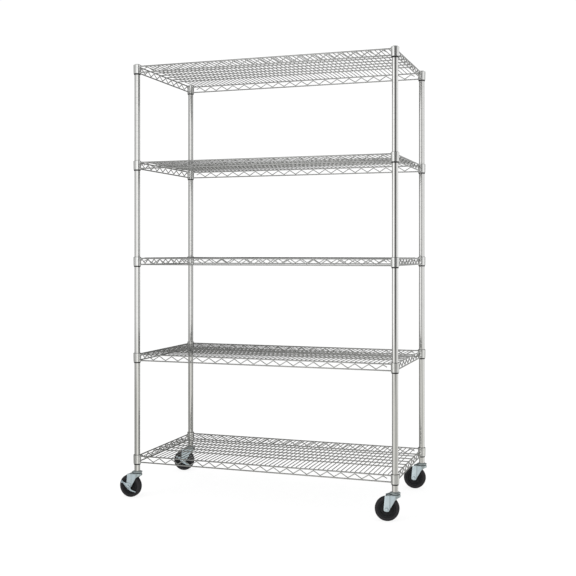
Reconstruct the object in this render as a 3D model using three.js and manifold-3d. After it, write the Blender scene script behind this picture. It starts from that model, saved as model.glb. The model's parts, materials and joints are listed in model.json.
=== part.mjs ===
// Wire shelf cart: four round posts on swivel casters carry five welded wire
// shelves. Millimetres, +Z up, +X to the right along the long side, +Y to the
// back. The floor is z = 0 and the origin is the middle of the whole cart's
// outline on the floor, with the casters turned as they stand at rest.

import * as THREE from 'three';
import { mergeVertices } from 'three/addons/utils/BufferGeometryUtils.js';
import Module from 'manifold-3d';

const wasm = await Module();
wasm.setup();

// -------------------------------------------------------------------- layout

// Middle of the post pattern in the cart's own frame.
const PATTERN_X = 30.009;
const PATTERN_Y = 0.645;

const POST_X = 590.55; // half the distance between post centres, long side
const POST_Y = 285.75; // the same, short side

// Lower edge of the split sleeves, one level per shelf.
const SHELF_LEVELS = {
  bottom: 149.9,
  lower: 607.1,
  middle: 1038.9,
  upper: 1470.7,
  top: 1902.5,
};

// sideX and sideY place the post; heading is the direction of the caster's
// trailing side, in degrees about +Z.
const CORNERS = {
  front_left: { sideX: -1, sideY: -1, heading: 177.9, hasBrake: true },
  front_right: { sideX: 1, sideY: -1, heading: 187.4, hasBrake: false },
  back_left: { sideX: -1, sideY: 1, heading: 192.9, hasBrake: true },
  back_right: { sideX: 1, sideY: 1, heading: 179.9, hasBrake: false },
};

// Facets of every turned part except the wheels.
const ROUND_SIDES = 8;

// ----------------------------------------------------------------- materials

const chrome = () =>
  new THREE.MeshStandardMaterial({ color: 0xd2d2cc, roughness: 0.22, metalness: 1 });
const zinc = () =>
  new THREE.MeshStandardMaterial({ color: 0xbfcfd4, roughness: 0.34, metalness: 1 });
const rubber = () =>
  new THREE.MeshStandardMaterial({ color: 0x26262a, roughness: 0.75, metalness: 0 });
const plastic = () =>
  new THREE.MeshStandardMaterial({ color: 0x1b1b1c, roughness: 0.5, metalness: 0 });

// ---------------------------------------------------------- geometry helpers

const MERGE_TOLERANCE = 1e-4;
const HOLE_NUDGE = 0.02;

// Closes a geometry: welds its corners, drops collapsed triangles and turns
// the faces outward. Changes the geometry it is given.
function clean(geometry) {
  geometry.deleteAttribute('normal');
  geometry.deleteAttribute('uv');
  const welded = mergeVertices(geometry, MERGE_TOLERANCE);
  const { position } = welded.attributes;
  const index = Array.from(welded.index.array);
  const corner = (i) => new THREE.Vector3().fromBufferAttribute(position, i);
  let triangles = [];
  let volume = 0; // six times the enclosed volume; only its sign matters
  for (let i = 0; i < index.length; i += 3) {
    const triangle = index.slice(i, i + 3);
    if (new Set(triangle).size < 3) continue;
    triangles.push(triangle);
    const [a, b, c] = triangle.map(corner);
    volume += a.dot(b.cross(c));
  }
  if (volume < 0) triangles = triangles.map(([a, b, c]) => [b, a, c]);
  welded.setIndex(triangles.flat());
  return welded;
}

function toSolid(geometry) {
  const closed = clean(geometry);
  return new wasm.Manifold(
    new wasm.Mesh({
      numProp: 3,
      vertProperties: new Float32Array(closed.attributes.position.array),
      triVerts: new Uint32Array(closed.index.array),
    }),
  );
}

// Joins overlapping geometries into one.
function union(parts) {
  const mesh = parts
    .map(toSolid)
    .reduce((joined, part) => joined.add(part))
    .getMesh();
  const geometry = new THREE.BufferGeometry();
  const positions = new Float32Array(mesh.vertProperties);
  geometry.setAttribute('position', new THREE.BufferAttribute(positions, 3));
  geometry.setIndex(Array.from(mesh.triVerts));
  return geometry;
}

// Scale from a circle's radius to the circumradius of a regular polygon with
// the circle's area.
const equalAreaScale = (sides) =>
  Math.sqrt((2 * Math.PI) / (sides * Math.sin((2 * Math.PI) / sides)));

// Body of revolution about Z from [radius, z] points.
function revolve(profile, sides = ROUND_SIDES, radiusScale = equalAreaScale(sides)) {
  const points = profile.map(([radius, z]) => new THREE.Vector2(radius * radiusScale, z));
  return new THREE.LatheGeometry(points, sides, Math.PI / sides).rotateX(Math.PI / 2);
}

function ring({ inner, outer, outerTop = outer, bottom, top }) {
  return revolve([
    [inner, bottom],
    [outer, bottom],
    [outerTop, top],
    [inner, top],
    [inner, bottom],
  ]);
}

function extrude(outline, holes, depth) {
  const shape = new THREE.Shape(outline.map(([x, y]) => new THREE.Vector2(x, y)));
  // Holes in a row get corners a few hundredths off one line, because the
  // triangulation drops a corner that lies exactly on a line with its neighbours.
  holes.forEach((hole, i) => {
    const points = hole.map(
      ([x, y], j) => new THREE.Vector2(x, y + HOLE_NUDGE * Math.sin(2.4 * i + 1.3 * j + 0.7)),
    );
    shape.holes.push(new THREE.Path(points));
  });
  return new THREE.ExtrudeGeometry(shape, { depth, bevelEnabled: false });
}

// Plate whose outline lies in XY, from z = bottom to z = top.
const flatPlate = (outline, bottom, top, holes = []) =>
  extrude(outline, holes, top - bottom).translate(0, 0, bottom);

// Plate whose outline lies in XZ, from y = front to y = back.
const uprightPlate = (outline, front, back, holes = []) =>
  extrude(outline, holes, back - front)
    .rotateX(Math.PI / 2)
    .translate(0, back, 0);

// Rectangle centred on the outline's first axis.
const rectangle = (half, low, high) => [
  [-half, low],
  [half, low],
  [half, high],
  [-half, high],
];

// Regular polygon about the origin, with its corners at the given radius.
const regularPolygon = (radius, sides) =>
  Array.from({ length: sides }, (_, i) => {
    const angle = Math.PI / sides + (i * 2 * Math.PI) / sides;
    return [radius * Math.cos(angle), radius * Math.sin(angle)];
  });

// Each mesh gets its own copy of the geometry.
function named(name, geometry, finish) {
  const mesh = new THREE.Mesh(geometry.clone(), finish());
  mesh.name = name;
  return mesh;
}

// ---------------------------------------------------------- posts and sleeves

const POST_R = 12.7;
const POST_BORE_R = 11.5;
const POST_BOTTOM = 120.65;
const POST_TOP = 1944.9;

const PLUG_R = 11.15; // cap plug and stem insert, inside the post's bore
const PLUG_DEPTH = 14;
const CAP_GAP = 0.3; // between the post's end and the cap's rim
const CAP_TOP = 1949.5;
const CAP_TOP_R = 11.2;
const CAP_BEVEL_HEIGHT = 1.8;

const INSERT_BORE_R = 7.1;
const INSERT_FROM = 0.4; // above the post's lower end
const INSERT_TO = 30.4;

const SLEEVE_R_IN = 13.05;
const SLEEVE_R_OUT = 14.6;
const SLEEVE_HEIGHT = 42.6;

const postGeometry = () =>
  clean(ring({ inner: POST_BORE_R, outer: POST_R, bottom: POST_BOTTOM, top: POST_TOP }));

const capGeometry = () =>
  clean(
    revolve([
      [0, POST_TOP - PLUG_DEPTH],
      [PLUG_R, POST_TOP - PLUG_DEPTH],
      [PLUG_R, POST_TOP + CAP_GAP],
      [POST_R, POST_TOP + CAP_GAP],
      [POST_R, CAP_TOP - CAP_BEVEL_HEIGHT],
      [CAP_TOP_R, CAP_TOP],
      [0, CAP_TOP],
    ]),
  );

const insertGeometry = () =>
  clean(
    ring({
      inner: INSERT_BORE_R,
      outer: PLUG_R,
      bottom: POST_BOTTOM + INSERT_FROM,
      top: POST_BOTTOM + INSERT_TO,
    }),
  );

const sleeveGeometry = () =>
  clean(ring({ inner: SLEEVE_R_IN, outer: SLEEVE_R_OUT, bottom: 0, top: SLEEVE_HEIGHT }));

// --------------------------------------------------------------------- shelf
// The shelf's z = 0 is the top of its corner collars.

const COLLAR_R_IN = 14.95;
const COLLAR_R_BOTTOM = 17.0;
const COLLAR_R_TOP = 17.8;
const COLLAR_FROM = 2.6; // above the sleeve's lower edge
const COLLAR_TO = 42.0;

const TRUSS_TOP = -5.5;
const TRUSS_BOTTOM = -36.5;
const TRUSS_THICK = 5.0;
const TRUSS_PITCH = 120;
const TRUSS_END_GAP = 16.0; // from a post's centre to the panel's end
const RAIL = 5.6; // height of the top and bottom rails
const DIAGONAL = 4.0;
const END_BAR = 4.5; // upright strip left at each end of a panel
const MIN_HOLE_WIDTH = 9; // narrower openings are left solid

const DECK_TOP = -2.5;
const DECK_THICK = 3.4;
const DECK_END = 572; // half the deck's length
const DECK_PITCH = 60;
const DECK_WIRE = 4.0;
const DECK_INSET = 0.25; // deck's edge strips, inside each face of the long trusses

// Cuts off the part of a convex outline beyond x = side * limit.
function clipX(outline, limit, side) {
  const clipped = [];
  outline.forEach((point, i) => {
    const next = outline[(i + 1) % outline.length];
    const pointInside = side * point[0] <= limit;
    const nextInside = side * next[0] <= limit;
    if (pointInside) clipped.push(point);
    if (pointInside !== nextInside) {
      const t = (side * limit - point[0]) / (next[0] - point[0]);
      clipped.push([side * limit, point[1] + t * (next[1] - point[1])]);
    }
  });
  return clipped;
}

// Truss panel between two collars: two rails joined by a zigzag whose apexes
// stand at whole pitches and whose feet stand halfway between them.
function trussPanel(half) {
  const top = TRUSS_TOP - RAIL;
  const bottom = TRUSS_BOTTOM + RAIL;
  const step = TRUSS_PITCH / 2;
  const length = Math.hypot(step, top - bottom);
  const lean = ((DIAGONAL / 2) * length) / (top - bottom); // half a diagonal's width along X
  const drop = ((DIAGONAL / 2) * length) / step; // and along Z
  const holes = [];
  for (let k = -10; k <= 10; k++) {
    const x = k * step;
    const pointsUp = k % 2 === 0;
    const base = pointsUp ? bottom : top;
    const tip = pointsUp ? top - drop : bottom + drop;
    let hole = [
      [x - step + lean, base],
      [x + step - lean, base],
      [x, tip],
    ];
    for (const side of [-1, 1]) hole = clipX(hole, half - END_BAR, side);
    const xs = hole.map((point) => point[0]);
    if (Math.max(...xs) - Math.min(...xs) > MIN_HOLE_WIDTH) holes.push(hole);
  }
  const outline = rectangle(half, TRUSS_BOTTOM, TRUSS_TOP);
  return uprightPlate(outline, -TRUSS_THICK / 2, TRUSS_THICK / 2, holes);
}

// Cross wires along Y between a strip over each long truss.
function deckGrid() {
  const outerY = POST_Y + TRUSS_THICK / 2 - DECK_INSET;
  const innerY = POST_Y - TRUSS_THICK / 2 + DECK_INSET;
  const wires = [-DECK_END + DECK_WIRE / 2];
  for (let k = -9; k <= 9; k++) wires.push(k * DECK_PITCH);
  wires.push(DECK_END - DECK_WIRE / 2);
  const holes = wires.slice(1).map((wire, i) => {
    const left = wires[i] + DECK_WIRE / 2;
    const right = wire - DECK_WIRE / 2;
    return [
      [left, -innerY],
      [left, innerY],
      [right, innerY],
      [right, -innerY],
    ];
  });
  const outline = rectangle(DECK_END, -outerY, outerY);
  return flatPlate(outline, DECK_TOP - DECK_THICK, DECK_TOP, holes);
}

const collar = () =>
  ring({
    inner: COLLAR_R_IN,
    outer: COLLAR_R_BOTTOM,
    outerTop: COLLAR_R_TOP,
    bottom: COLLAR_FROM - COLLAR_TO,
    top: 0,
  });

function shelfGeometry() {
  const halfX = POST_X - TRUSS_END_GAP;
  const halfY = POST_Y - TRUSS_END_GAP;
  const sides = [-1, 1];
  return union([
    ...sides.map((side) => trussPanel(halfX).translate(0, side * POST_Y, 0)),
    ...sides.map((side) =>
      trussPanel(halfY)
        .rotateZ(Math.PI / 2)
        .translate(side * POST_X, 0, 0),
    ),
    deckGrid(),
    ...sides.flatMap((sideX) =>
      sides.map((sideY) => collar().translate(sideX * POST_X, sideY * POST_Y, 0)),
    ),
  ]);
}

// -------------------------------------------------------------------- caster
// The swivel axis is x = y = 0 and the wheel trails towards -X. The bolt head
// and the brake are on the -Y side, the nut on the +Y side.

const WHEEL_R = 50.8;
const WHEEL_SIDES = 16;
const WHEEL_HALF_WIDTH = 15.0;
const HUB_HALF_WIDTH = 17.8;
const TREAD_HALF_WIDTH = 7;

const AXLE_X = -32.5;
const AXLE_Z = WHEEL_R;
const AXLE_R = 4.3;
const AXLE_END = 28.5; // distance of the nut end from the wheel's middle plane
const HEAD_HEIGHT = 3.4;
// Inner face of the bolt head, from the wheel's middle plane.
const HEAD_IN = { plain: 21.7, brake: 24.6 };

const LEG_IN = 18.4;
const LEG_OUT = 21.4;
const LEG_END_R = 11.2;
const CROWN_TOP = 111.8;
const CROWN_BOTTOM = 108.0;
const CROWN_BACK_X = -27.5; // the crown's trailing edge
const CROWN_R = 23.4;

// Moves an XZ point measured from the axle into the caster's frame.
const fromAxle = ([x, z]) => [x + AXLE_X, z + AXLE_Z];

const axleHole = () => regularPolygon(5.3, 8).map(fromAxle);

// Lays a part turned about Z along the axle; turn is about X.
const layOnAxle = (geometry, turn) => geometry.rotateX(turn).translate(AXLE_X, 0, AXLE_Z);

// Stem, fixed raceway cap and king pin, as [radius, z].
const STEM_PROFILE = [
  [0, 103.8], [8.5, 103.8], [8.5, 107.6], [4.8, 107.6], [4.8, 112.2],
  [19.2, 112.2], [20.2, 114], [23.2, 114.2], [23.2, 116.8], [15.5, 118.4],
  [15.5, 120.3], [6.1, 120.3], [6.1, 152], [0, 152],
];

// Pressed fork: crown, two legs and a lip below the crown's +X edge.
function forkGeometry() {
  const rim = [];
  for (let i = -3; i <= 3; i++) {
    const angle = (i * Math.PI) / 7.2; // steps of 25 degrees
    rim.push([CROWN_R * Math.cos(angle), CROWN_R * Math.sin(angle)]);
  }
  const crown = [[CROWN_BACK_X, -LEG_OUT], ...rim, [CROWN_BACK_X, LEG_OUT]];
  const legEnd = [];
  for (let i = 0; i <= 6; i++) {
    const angle = Math.PI + 0.06 + (i * (Math.PI - 0.5)) / 6;
    legEnd.push(fromAxle([LEG_END_R * Math.cos(angle), LEG_END_R * Math.sin(angle)]));
  }
  const leg = [
    [CROWN_BACK_X, CROWN_TOP],
    [-40, 107.5],
    [-43.6, 56],
    ...legEnd,
    [8.2, 96],
    [14, 101],
    [14, CROWN_TOP],
  ];
  const lip = [[20.2, -8.6], [22.9, -6], [22.9, 6], [20.2, 8.6]];
  return union([
    flatPlate(crown, CROWN_BOTTOM, CROWN_TOP, [regularPolygon(6.0, 10)]),
    uprightPlate(leg, -LEG_OUT, -LEG_IN, [axleHole()]),
    uprightPlate(leg, LEG_IN, LEG_OUT, [axleHole()]),
    flatPlate(lip, 99, CROWN_BOTTOM + 0.5),
  ]);
}

// Wheel with a flat of the tread at the bottom.
function wheelGeometry() {
  // One side from bore to tread, as [radius, distance from the middle plane].
  const side = [
    [5.4, HUB_HALF_WIDTH],
    [13, HUB_HALF_WIDTH],
    [16, WHEEL_HALF_WIDTH],
    [46.5, WHEEL_HALF_WIDTH],
    [WHEEL_R, TREAD_HALF_WIDTH],
  ];
  const mirrored = side.map(([radius, offset]) => [radius, -offset]);
  const profile = [...mirrored, ...side.toReversed(), mirrored[0]];
  const flatsScale = 1 / Math.cos(Math.PI / WHEEL_SIDES); // radii reach the flats
  return clean(layOnAxle(revolve(profile, WHEEL_SIDES, flatsScale), Math.PI / 2));
}

function boltGeometry(headIn) {
  const bolt = revolve([
    [0, -AXLE_END],
    [AXLE_R, -AXLE_END],
    [AXLE_R, headIn],
    [7.2, headIn],
    [6.2, headIn + HEAD_HEIGHT],
    [0, headIn + HEAD_HEIGHT],
  ]);
  return clean(layOnAxle(bolt, Math.PI / 2));
}

const nutGeometry = () =>
  clean(layOnAxle(ring({ inner: 4.65, outer: 8.3, bottom: 21.7, top: 27.4 }), -Math.PI / 2));

// Brake outlines, as [x, z] from the axle.
const BRAKE_PLATE = [
  [-35.6, 22.4], [-29.5, 17.6], [-23.8, 12.4], [-18.5, 6.8], [-8.4, -3.8],
  [0.2, -10.8], [7.2, -14.6], [15.4, -18.4], [25, -20.6], [36.3, -22.8],
  [36.5, -20.2], [27, -18], [18, -15], [12.8, -11.8], [9.6, -7.4],
  [8.8, -2], [11.4, 8], [10.6, 12.4], [5, 14.2], [-16.5, 15.3],
  [-23, 17.6], [-28.6, 21.4], [-34.4, 26],
];
const BRAKE_TAB = [[-36.4, 23.6], [-28.4, 17.2], [-27, 19.2], [-34.8, 25.6]];

// Foot brake: a pressed plate on the axle outside the -Y leg, with a turned
// toe tab at its trailing end.
const brakeGeometry = () =>
  union([
    uprightPlate(BRAKE_PLATE.map(fromAxle), -24.2, -21.8, [axleHole()]),
    uprightPlate(BRAKE_TAB.map(fromAxle), -31.9, -22.2),
  ]);

// ------------------------------------------------------------------ assembly

const cart = new THREE.Group();
const pattern = new THREE.Group();
pattern.position.set(PATTERN_X, PATTERN_Y, 0);
cart.add(pattern);

const shelf = shelfGeometry();
for (const [level, z] of Object.entries(SHELF_LEVELS)) {
  const mesh = named(`shelf_${level}`, shelf, chrome);
  mesh.position.z = z + COLLAR_TO;
  pattern.add(mesh);
}

const post = postGeometry();
const cap = capGeometry();
const insert = insertGeometry();
const sleeve = sleeveGeometry();
const stem = clean(revolve(STEM_PROFILE));
const fork = forkGeometry();
const wheel = wheelGeometry();
const nut = nutGeometry();
const brake = brakeGeometry();

function swivelGroup(corner, heading, hasBrake) {
  const bolt = boltGeometry(hasBrake ? HEAD_IN.brake : HEAD_IN.plain);
  const swivel = new THREE.Group();
  swivel.rotation.z = THREE.MathUtils.degToRad(heading - 180); // modelled trailing at 180
  swivel.add(named(`caster_fork_${corner}`, fork, zinc));
  swivel.add(named(`wheel_${corner}`, wheel, rubber));
  swivel.add(named(`axle_bolt_${corner}`, bolt, zinc));
  swivel.add(named(`axle_nut_${corner}`, nut, zinc));
  if (hasBrake) swivel.add(named(`brake_lever_${corner}`, brake, zinc));
  return swivel;
}

for (const [corner, { sideX, sideY, heading, hasBrake }] of Object.entries(CORNERS)) {
  const column = new THREE.Group();
  column.position.set(sideX * POST_X, sideY * POST_Y, 0);
  column.add(named(`post_${corner}`, post, chrome));
  column.add(named(`post_cap_${corner}`, cap, plastic));
  column.add(named(`stem_insert_${corner}`, insert, zinc));
  for (const [level, z] of Object.entries(SHELF_LEVELS)) {
    const mesh = named(`sleeve_${level}_${corner}`, sleeve, plastic);
    mesh.position.z = z;
    column.add(mesh);
  }
  column.add(named(`caster_stem_${corner}`, stem, zinc));
  column.add(swivelGroup(corner, heading, hasBrake));
  pattern.add(column);
}

export default cart;
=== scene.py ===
"""Wire shelf cart: five wire shelves on four grooved posts with swivel casters, round its CAD frame.

The cart stands on z = 0 with its shelves lengthwise along X and its front towards -Y.
Shapes are given in millimetres, and Mesh.mesh turns them into metres.
"""

import json
import math

import bmesh
import bpy
import numpy as np
from mathutils import Matrix, Vector


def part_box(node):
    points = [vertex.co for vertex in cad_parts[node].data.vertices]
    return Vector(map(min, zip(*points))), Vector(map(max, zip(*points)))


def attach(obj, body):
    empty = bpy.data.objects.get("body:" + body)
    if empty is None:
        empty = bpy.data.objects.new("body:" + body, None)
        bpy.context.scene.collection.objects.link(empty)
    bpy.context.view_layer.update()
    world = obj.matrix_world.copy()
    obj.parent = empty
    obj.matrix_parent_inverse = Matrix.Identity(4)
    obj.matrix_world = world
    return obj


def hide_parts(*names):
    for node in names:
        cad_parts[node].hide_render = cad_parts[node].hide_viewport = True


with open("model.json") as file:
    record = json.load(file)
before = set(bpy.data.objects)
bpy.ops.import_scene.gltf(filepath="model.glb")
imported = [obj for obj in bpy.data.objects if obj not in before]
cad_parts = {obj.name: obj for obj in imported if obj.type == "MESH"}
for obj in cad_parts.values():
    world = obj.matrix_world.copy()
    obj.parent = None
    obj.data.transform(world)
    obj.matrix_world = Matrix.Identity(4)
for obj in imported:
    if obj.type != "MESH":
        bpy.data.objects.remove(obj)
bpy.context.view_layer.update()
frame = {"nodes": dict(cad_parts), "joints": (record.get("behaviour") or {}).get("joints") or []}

MM = 0.001
CORNERS = ("front_left", "front_right", "back_left", "back_right")
LEVELS = ("bottom", "lower", "middle", "upper", "top")
JOINTS = {joint["name"]: joint for joint in frame["joints"]}


# ------------------------------------------------------------ places from CAD

def centre_of(node):
    low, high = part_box(node)
    return (low + high) / 2


POSTS = {corner: centre_of("post_" + corner) for corner in CORNERS}          # metres
CART_X = sum(post.x for post in POSTS.values()) / 4 / MM
CART_Y = sum(post.y for post in POSTS.values()) / 4 / MM
HALF_X = (POSTS["front_right"].x - POSTS["front_left"].x) / 2 / MM           # cart's middle to posts
HALF_Y = (POSTS["back_left"].y - POSTS["front_left"].y) / 2 / MM
POST_LOW, POST_HIGH = (v.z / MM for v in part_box("post_front_left"))
CAP_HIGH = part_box("post_cap_front_left")[1].z / MM
SHELF_Z = {level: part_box("shelf_" + level)[1].z / MM for level in LEVELS}    # collar tops
SLEEVE_Z = {level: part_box("sleeve_%s_front_left" % level)[0].z / MM for level in LEVELS}
SLEEVE_RISE = SHELF_Z["top"] - SLEEVE_Z["top"]
STEM_LOW, STEM_HIGH = (v.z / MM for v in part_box("caster_stem_front_left"))


# ------------------------------------------------------------------ mesh tools

def moved(points, xform):
    """The points turned and shifted by a 4 x 4 matrix."""
    return points @ xform[:3, :3].T + xform[:3, 3]


class Mesh:
    """Collects parts given in millimetres and turns them into one mesh in metres."""

    def __init__(self):
        self.verts, self.faces, self.mats, self.count = [], [], [], 0

    def add(self, verts, faces, mat=0, xform=None):
        verts = np.asarray(verts, float).reshape(-1, 3)
        if xform is not None:
            verts = moved(verts, xform)
        self.verts.append(verts)
        for face in faces:
            self.faces.append(tuple(i + self.count for i in face))
            self.mats.append(mat)
        self.count += len(verts)

    def mesh(self, name, materials, sharp=38):
        """The finished mesh; edges bent by more than sharp degrees stay crisp."""
        data = bpy.data.meshes.new(name)
        data.from_pydata((np.vstack(self.verts) * MM).tolist(), [], self.faces)
        for material in materials:
            data.materials.append(material)
        data.polygons.foreach_set("material_index", self.mats)
        data.polygons.foreach_set("use_smooth", [True] * len(self.faces))
        data.update()
        bm = bmesh.new()
        bm.from_mesh(data)
        bmesh.ops.remove_doubles(bm, verts=bm.verts, dist=1e-7)
        bmesh.ops.recalc_face_normals(bm, faces=bm.faces)
        bm.to_mesh(data)
        bm.free()
        data.set_sharp_from_angle(angle=math.radians(sharp))
        return data


def new_object(name, data):
    ob = bpy.data.objects.new(name, data)
    bpy.context.scene.collection.objects.link(ob)
    return ob


def place(name, data, body, node, slot, matrix):
    """Puts a mesh in the scene on a moving body, in place of a CAD node."""
    ob = new_object(name, data)
    ob.matrix_world = matrix
    normals = ob.modifiers.new("weighted normals", "WEIGHTED_NORMAL")
    normals.keep_sharp = True
    normals.weight = 60
    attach(ob, body)
    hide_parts(node)


def at_post(corner, z=0):
    """Upright matrix on a post's axis, z in millimetres."""
    return Matrix.Translation(Vector((POSTS[corner].x, POSTS[corner].y, z * MM)))


def fillet(points, radius, seg, closed=False):
    """Rounds the corners of a 2D line. radius is one number or one for each point."""
    pts = [np.asarray(p, float) for p in points]
    count = len(pts)
    radii = [radius] * count if np.isscalar(radius) else radius
    out = []
    for i, corner in enumerate(pts):
        if (not closed and i in (0, count - 1)) or radii[i] <= 0:
            out.append(corner)
            continue
        back, ahead = pts[i - 1] - corner, pts[(i + 1) % count] - corner
        back_len, ahead_len = np.linalg.norm(back), np.linalg.norm(ahead)
        back, ahead = back / back_len, ahead / ahead_len
        half = math.acos(float(np.clip(back @ ahead, -1, 1))) / 2
        if half > math.pi / 2 - 0.01:       # all but straight
            out.append(corner)
            continue
        cut = min(radii[i] / math.tan(half), 0.48 * back_len, 0.48 * ahead_len)
        bisector = back + ahead
        bisector /= np.linalg.norm(bisector)
        centre = corner + bisector * (cut * math.tan(half) / math.sin(half))
        first, last = corner + back * cut - centre, corner + ahead * cut - centre
        arc = math.pi - 2 * half
        for k in range(seg + 1):
            t = k / seg
            first_share = math.sin((1 - t) * arc) / math.sin(arc)
            last_share = math.sin(t * arc) / math.sin(arc)
            out.append(centre + first * first_share + last * last_share)
    return out


def fillet_rows(rows, seg, closed=False):
    """Rounds an outline given as rows of radius from the axis, z, corner radius."""
    return fillet([row[:2] for row in rows], [row[2] for row in rows], seg, closed)


def mirrored(half):
    """An outline's rows followed by their mirror images in z = 0, back to the start."""
    return half + [(row[0], -row[1], *row[2:]) for row in reversed(half)]


def thread(crest, root, width, pitch, start, end):
    """Profile points of a row of rolled thread grooves, begun from start up to end."""
    points = []
    z = start
    while z < end:
        points += [(crest, z), (root, z + width / 2), (crest, z + width)]
        z += pitch
    return points


def loft(mesh, rings, mat=0, closed=False, xform=None):
    """Solid through rings of points, capped at both ends or, if closed, joined last to first."""
    count, sides = len(rings), len(rings[0])
    faces = []
    for i in range(count if closed else count - 1):
        here, there = i * sides, (i + 1) % count * sides
        for k in range(sides):
            after = (k + 1) % sides
            faces.append((here + k, here + after, there + after, there + k))
    if not closed:
        faces.append(tuple(range(sides - 1, -1, -1)))
        faces.append(tuple(range((count - 1) * sides, count * sides)))
    mesh.add(np.array(rings), faces, mat, xform)


# Wire end: distance in from the end and section radius, both as shares of the wire's radius
WIRE_END = ((0, 0.72), (0.18, 0.97), (0.34, 1.0))


def tube(mesh, path, radius, sides, dome=True):
    """Round wire along a path that doesn't start upright, its ends slightly domed.
    radius is one number or one for each point."""
    path = np.array(path, float)
    steps = np.diff(path, axis=0)
    steps /= np.linalg.norm(steps, axis=1)[:, None]
    tangents = np.vstack([steps[:1], steps[:-1] + steps[1:], steps[-1:]])
    tangents /= np.linalg.norm(tangents, axis=1)[:, None]
    radii = np.full(len(path), radius, float) if np.isscalar(radius) else np.array(radius, float)

    def domed_end(i, inward):
        return [(path[i] + inward * radii[i] * inset, tangents[i], radii[i] * share)
                for inset, share in WIRE_END]

    stations = list(zip(path, tangents, radii))
    if dome:
        stations = (domed_end(0, tangents[0]) + stations[1:-1]
                    + domed_end(-1, -tangents[-1])[::-1])
    angles = np.linspace(0, 2 * np.pi, sides, endpoint=False) + np.pi / sides
    across = np.cross(tangents[0], (0.0, 0.0, 1.0))
    across /= np.linalg.norm(across)
    rings = []
    for centre, tangent, size in stations:
        # carry the section's direction along without twist
        across = across - tangent * (across @ tangent)
        across /= np.linalg.norm(across)
        other = np.cross(tangent, across)
        spokes = np.cos(angles)[:, None] * across + np.sin(angles)[:, None] * other
        rings.append(centre + size * spokes)
    loft(mesh, rings)


def revolve(mesh, profile, segs, at=(0, 0, 0), mat=0, closed=False, start=0.0, turn=None,
            xform=None):
    """Turns (radius, z) points about Z. A profile that is closed, or open with both ends on the
    axis, gives a solid. With turn, only that many radians are made and both ends are capped."""
    prof = np.array(profile, float)
    size = len(prof)
    full = turn is None
    columns = segs if full else segs + 1
    angles = start + (np.arange(columns) * (2 * np.pi if full else turn) / segs)
    verts = np.stack([
        np.outer(np.cos(angles), prof[:, 0]),
        np.outer(np.sin(angles), prof[:, 0]),
        np.tile(prof[:, 1], (columns, 1)),
    ], -1).reshape(-1, 3)
    faces = []
    for i in range(segs):
        here, there = i * size, (i + 1) % columns * size
        for k in range(size if closed else size - 1):
            after = (k + 1) % size
            face = [here + k, there + k, there + after, here + after]
            # a point on the axis makes a triangle
            if prof[k][0] < 1e-9:
                del face[1]
            elif prof[after][0] < 1e-9:
                del face[2]
            faces.append(face)
    if not full:
        faces.append(tuple(range(size)))
        faces.append(tuple(reversed(range((columns - 1) * size, columns * size))))
    mesh.add(verts + np.array(at, float), faces, mat, xform)


def sheet(mesh, points, thick, edge):
    """Pressed sheet round a grid of points on its middle surface; edge is the size of the
    softening along its border."""
    grid = np.array(points, float)
    rows, cols = grid.shape[:2]
    normal = np.cross(np.gradient(grid, axis=0), np.gradient(grid, axis=1))
    normal /= np.maximum(np.linalg.norm(normal, axis=2), 1e-9)[..., None]
    inset = np.zeros_like(grid)
    for shift, lines in ((inset, grid), (inset.swapaxes(0, 1), grid.swapaxes(0, 1))):
        for end, beside in ((0, 1), (-1, -2)):
            inward = lines[beside] - lines[end]
            length = np.maximum(np.linalg.norm(inward, axis=1), 1e-9)[:, None]
            shift[end] += inward / length * np.minimum(edge, 0.45 * length)
    half = thick / 2
    layers = [
        grid + inset + normal * half, grid + normal * (half - edge),
        grid - normal * (half - edge), grid + inset - normal * half,
    ]
    verts = np.vstack([layer.reshape(-1, 3) for layer in layers])

    def index(layer, i, j):
        return layer * rows * cols + i * cols + j

    faces = []
    for i in range(rows - 1):
        for j in range(cols - 1):
            quad = ((i, j), (i + 1, j), (i + 1, j + 1), (i, j + 1))
            faces.append([index(0, *quad[k]) for k in (0, 1, 2, 3)])
            faces.append([index(3, *quad[k]) for k in (0, 3, 2, 1)])
    border = [(i, 0) for i in range(rows)] + [(rows - 1, j) for j in range(1, cols)]
    border += [(i, cols - 1) for i in range(rows - 2, -1, -1)]
    border += [(0, j) for j in range(cols - 2, 0, -1)]
    for k, here in enumerate(border):
        after = border[(k + 1) % len(border)]
        for layer in range(3):
            faces.append((index(layer, *here), index(layer, *after),
                          index(layer + 1, *after), index(layer + 1, *here)))
    # the two middle layers are used along the border only
    used = sorted({i for face in faces for i in face})
    renumber = {old: new for new, old in enumerate(used)}
    mesh.add(verts[used], [tuple(renumber[i] for i in face) for face in faces])


def hex_prism(mesh, flats, low, high, chamfer, xform):
    """Hexagon about Z, flats millimetres across, with turned chamfers at both ends."""
    corner_r = flats / math.sqrt(3)
    sides = 36
    rings = []
    # share of the corner radius, z
    for share, z in (
        (0.80, low), (0.93, low + chamfer * 0.35), (1.0, low + chamfer),
        (1.0, high - chamfer), (0.93, high - chamfer * 0.35), (0.80, high),
    ):
        ring = []
        for k in range(sides):
            angle = 2 * math.pi * k / sides
            off_flat = (angle % (math.pi / 3)) - math.pi / 6
            radius = min((flats / 2) / math.cos(off_flat), corner_r * share)
            ring.append((radius * math.cos(angle), radius * math.sin(angle), z))
        rings.append(ring)
    loft(mesh, rings, xform=xform)


def spline(points, count):
    """count points on a smooth curve through the given ones, evenly by parameter."""
    pts = np.array(points, float)
    ext = np.vstack([2 * pts[0] - pts[1], pts, 2 * pts[-1] - pts[-2]])
    out = []
    for t in np.linspace(0, len(pts) - 1, count):
        i = min(int(t), len(pts) - 2)
        f = t - i
        a, b, c, d = ext[i:i + 4]
        out.append(0.5 * (2 * b + (c - a) * f + (2 * a - 5 * b + 4 * c - d) * f * f
                          + (3 * b - a - 3 * c + d) * f ** 3))
    return np.array(out)


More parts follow.
